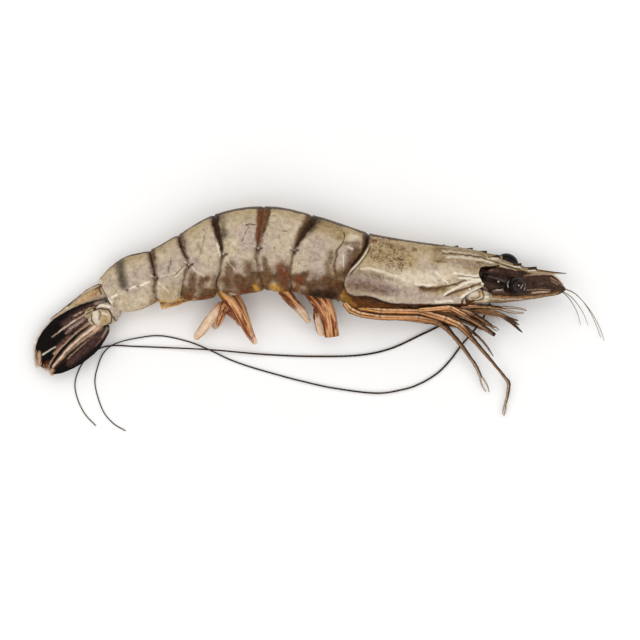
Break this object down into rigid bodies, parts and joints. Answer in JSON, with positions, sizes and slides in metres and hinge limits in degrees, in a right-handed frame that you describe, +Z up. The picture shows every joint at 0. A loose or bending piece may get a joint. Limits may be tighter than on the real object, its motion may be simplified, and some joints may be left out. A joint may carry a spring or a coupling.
{
  "type": "raw tiger prawn",
  "caption": "Whole raw tiger prawn with its head on, lying on its left side, with a toothed snout, long antennae, bent legs, a banded tail and a folded tail fan.",
  "frame": {"origin": "middle of the small flat that the first abdominal segment lies on, at the height of the surface", "axes": "+X from the tail towards the head, +Y from the legs towards the back, +Z up, out of the prawn's right side, which shows"},
  "size_m": [0.2138, 0.0837, 0.0218],
  "materials": {
    "shell": "wet olive-grey shell, slightly see-through, with dark brown bands and speckles",
    "gill_side": "wet dark amber gills and leg roots",
    "antenna_base": "wet tan knobs with paler rims",
    "head_limb": "wet dark brown blades and stems with a tan edge",
    "eye": "black glossy eyeball on a tan stalk",
    "leg": "wet orange-brown legs with olive sides and pale tips",
    "swimming_leg": "reddish-orange swimming legs, pale pink where thin",
    "tail_fan": "near-black blades with tan ribs and a frayed tan fringe",
    "feeler": "smooth dark brown feelers, paler towards the tip"
  },
  "bodies": {
    "root": {"abdomen_1": "shell", "abdomen_2": "shell", "abdomen_3": "shell", "abdomen_4": "shell", "abdomen_5": "shell", "abdomen_6": "shell", "antenna_base_left": "antenna_base", "antenna_base_right": "antenna_base", "antenna_left": "feeler", "antenna_right": "feeler", "antenna_scale_left": "head_limb", "antenna_scale_right": "head_limb", "antennule_left": "head_limb", "antennule_right": "head_limb", "carapace": "shell", "eye_left": "eye", "eye_right": "eye", "head_core": "head_limb", "leg_left_1": "leg", "leg_left_2": "leg", "leg_left_3": "leg", "leg_left_4": "leg", "leg_left_5": "leg", "leg_right_1": "leg", "leg_right_2": "leg", "leg_right_3": "leg", "leg_right_4": "leg", "leg_right_5": "leg", "maxilliped_left": "leg", "maxilliped_right": "leg", "pleopod_left_1": "swimming_leg", "pleopod_left_2": "swimming_leg", "pleopod_left_3": "swimming_leg", "pleopod_left_4": "swimming_leg", "pleopod_left_5": "swimming_leg", "pleopod_right_1": "swimming_leg", "pleopod_right_2": "swimming_leg", "pleopod_right_3": "swimming_leg", "pleopod_right_4": "swimming_leg", "pleopod_right_5": "swimming_leg", "telson": "shell", "thorax": "gill_side", "uropod_base_left": "antenna_base", "uropod_base_right": "antenna_base", "uropod_inner_left": "tail_fan", "uropod_inner_right": "tail_fan", "uropod_outer_left": "tail_fan", "uropod_outer_right": "tail_fan", "whisker_left_1": "feeler", "whisker_left_2": "feeler", "whisker_right_1": "feeler", "whisker_right_2": "feeler"}
  },
  "joints": []
}
